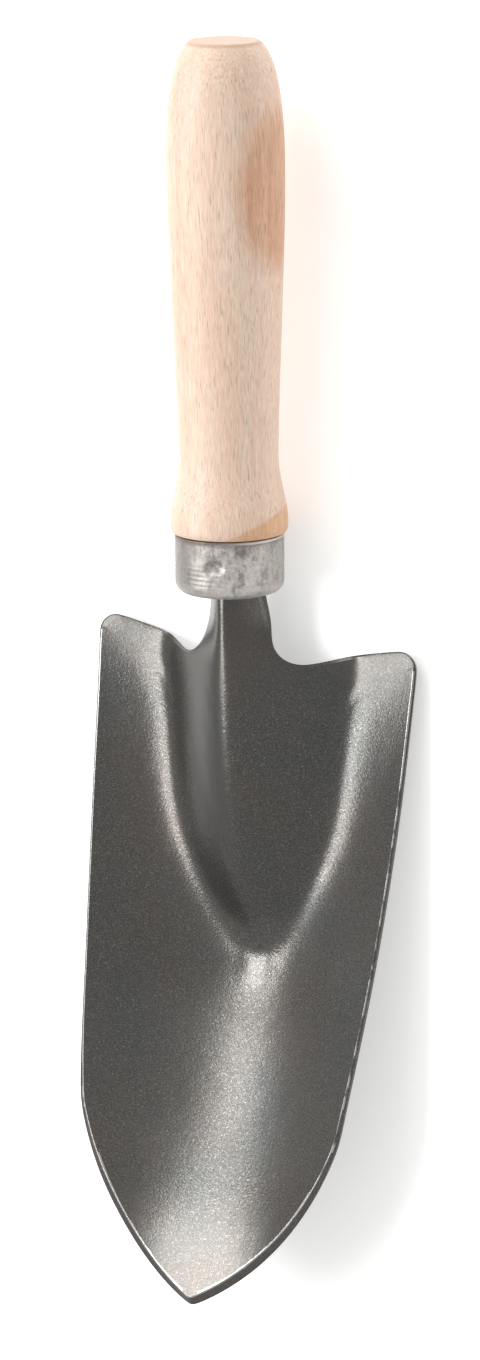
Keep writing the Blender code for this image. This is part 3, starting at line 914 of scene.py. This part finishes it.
handleLook = {
    "edgeRound": 0.0003,
    "edgeAngle": radians(30.0),

    "beech": (0.710, 0.540, 0.425, 1.0),
    "beechPink": (0.700, 0.500, 0.385, 1.0),
    "beechPale": (0.780, 0.625, 0.510, 1.0),
    "tan": (0.560, 0.300, 0.175, 1.0),
    "endTan": (0.600, 0.325, 0.150, 1.0),
    "fleckColour": (0.370, 0.205, 0.125, 1.0),
    "grimeAndShade": (0.190, 0.110, 0.070, 1.0),
    "roughness": 0.46,

    # the grain's sizes across, along and out of the tool, its slants, and where it shows
    "bandSize": (4.2, 46.0, 2.6),
    "bandSlant": 0.03,
    "bandTurn": radians(20.0),
    "bandTwist": 0.5,
    "bandEdge": (0.36, 0.62),
    "streakSize": (0.55, 15.0, 0.55),
    "streakSlant": 0.035,
    "streakEdge": (0.50, 0.72),
    "streakShare": 0.55,
    "streakRough": 0.20,
    "streakDepth": 0.030,
    "fleckSize": (0.28, 4.6, 0.28),
    "fleckEdge": (0.60, 0.72),
    "fleckShare": 0.48,
    "fleckMore": 0.20,              # on the dark patch
    "fleckRough": 0.10,
    "fleckDepth": 0.020,
    "fineSize": (0.20, 5.0, 0.20),
    "fineSlant": 0.05,              # also that of the flecks
    "fineShade": 0.60,
    "fineDepth": 0.012,
    "toneSize": (1.2, 22.0, 1.2),
    "toneEdge": (0.3, 0.7),
    "wanderSize": (1.6, 16.0, 1.6),

    # the dark patch, on one side of the grip
    "patchMiddle": 99.0,
    "patchReach": 19.0,
    "patchTurn": radians(95.0),
    "patchTaper": 4.5,
    "patchWander": 6.0,
    "patchStreak": 3.0,
    "patchEdge": (6.6, 11.8),
    "patchShare": 0.70,
    "patchTone": 0.30,

    # the wedge of end grain over the lower rim, higher to the right, and painted shade along the
    # rim, where the wood meets the ferrule
    "wedgeStart": 14.4,
    "wedgeHeight": 1.2,
    "wedgeRise": 0.45,
    "wedgeWander": 1.5,
    "wedgeEdge": (-0.5, 0.8),
    "wedgeShare": 0.55,
    "wedgeTone": 0.40,
    "rimEdge": (14.3, 14.85),
    "rimWander": 0.5,
    "rimShadeShare": 0.8,

    # the butt's face, darkest at its edge, and the shade in front of it
    "buttEdge": (133.3, 134.2),
    "buttShare": 0.32,
    "buttArris": (134.0, 134.45),
    "buttArrisShare": 0.22,
    "buttShadeAlong": (100.0, 125.0),
    "buttShade": 0.05,
}


def beechFinish():
    look = handleLook
    finish = Finish("turnedBeech")
    x, y, z = finish.axes(finish.toolCoordinates())

    # Broad bands of the annual rings, fine pale streaks, and the short flecks of the rays
    bands = finish.stretchedNoise(
        look["bandSize"], look["bandSlant"], look["bandTurn"], distortion=look["bandTwist"])
    streaks = finish.stretchedNoise(look["streakSize"], look["streakSlant"])
    rays = finish.stretchedNoise(look["fleckSize"], look["fineSlant"], detail=1.0)
    flecks = finish.smooth(rays, *look["fleckEdge"])
    fine = finish.stretchedNoise(look["fineSize"], look["fineSlant"], detail=1.0)
    tone = finish.smooth(finish.stretchedNoise(look["toneSize"]), *look["toneEdge"])
    wander = finish.stretchedNoise(look["wanderSize"], detail=3.0).offMiddle()
    streaksOff = streaks.offMiddle()
    pale = finish.smooth(streaks, *look["streakEdge"]) * look["streakShare"]
    colour = finish.blend(finish.smooth(bands, *look["bandEdge"]), look["beech"], look["beechPink"])
    colour = finish.blend(pale, colour, look["beechPale"])

    # A darker patch of heartwood on one side, with a wandering edge
    along = (y - look["patchMiddle"]) / look["patchReach"]
    patch = finish.smooth(
        outTowards(x, z, look["patchTurn"]) - along * along * look["patchTaper"]
        + wander * look["patchWander"] + streaksOff * look["patchStreak"], *look["patchEdge"])
    patchShare = patch * (look["patchShare"] + look["patchTone"] * tone)
    fleckShare = flecks * (look["fleckShare"] + look["fleckMore"] * patch)
    colour = finish.blend(patchShare, colour, look["tan"])
    colour = finish.blend(fleckShare, colour, look["fleckColour"])

    # End grain shows in a wedge over the lower rim, and on the butt
    right = toTheRight(x, z, photo["turn"])
    wedge = finish.smooth(
        right * look["wedgeRise"] + look["wedgeHeight"] - (y - look["wedgeStart"])
        + wander * look["wedgeWander"], *look["wedgeEdge"])
    wedgeShare = wedge * (look["wedgeShare"] + look["wedgeTone"] * tone)
    colour = finish.blend(wedgeShare, colour, look["endTan"])
    butt = finish.smooth(y, *look["buttEdge"])
    arris = butt * (1.0 - finish.smooth(y, *look["buttArris"]))
    buttShare = butt * look["buttShare"] + arris * look["buttArrisShare"]
    colour = finish.blend(buttShare, colour, look["fleckColour"])

    # Painted shade along the lower rim, where the wood meets the ferrule
    rim = 1.0 - finish.smooth(y + wander * look["rimWander"], *look["rimEdge"])
    colour = finish.blend(rim * look["rimShadeShare"], colour, look["grimeAndShade"])
    shade = (1.0 - look["buttShade"] * finish.smooth(y, *look["buttShadeAlong"])
             + look["fineShade"] * fine.offMiddle())
    finish.set("Base Color", finish.scale(colour, shade))
    finish.set("Roughness", look["roughness"] + look["streakRough"] * streaksOff
               + look["fleckRough"] * flecks)
    finish.bump(streaks * look["streakDepth"] + fine * look["fineDepth"]
                - flecks * look["fleckDepth"])
    return finish.material


def makeHandle():
    handle = copyNode("handle", "beechHandle")
    softenEdges(handle, handleLook["edgeAngle"], handleLook["edgeRound"])
    applyModifier(handle, "SUBSURF", levels=1, render_levels=1)
    handle.data.materials.append(beechFinish())
    finishPiece(handle, "handle")


makeHandle()
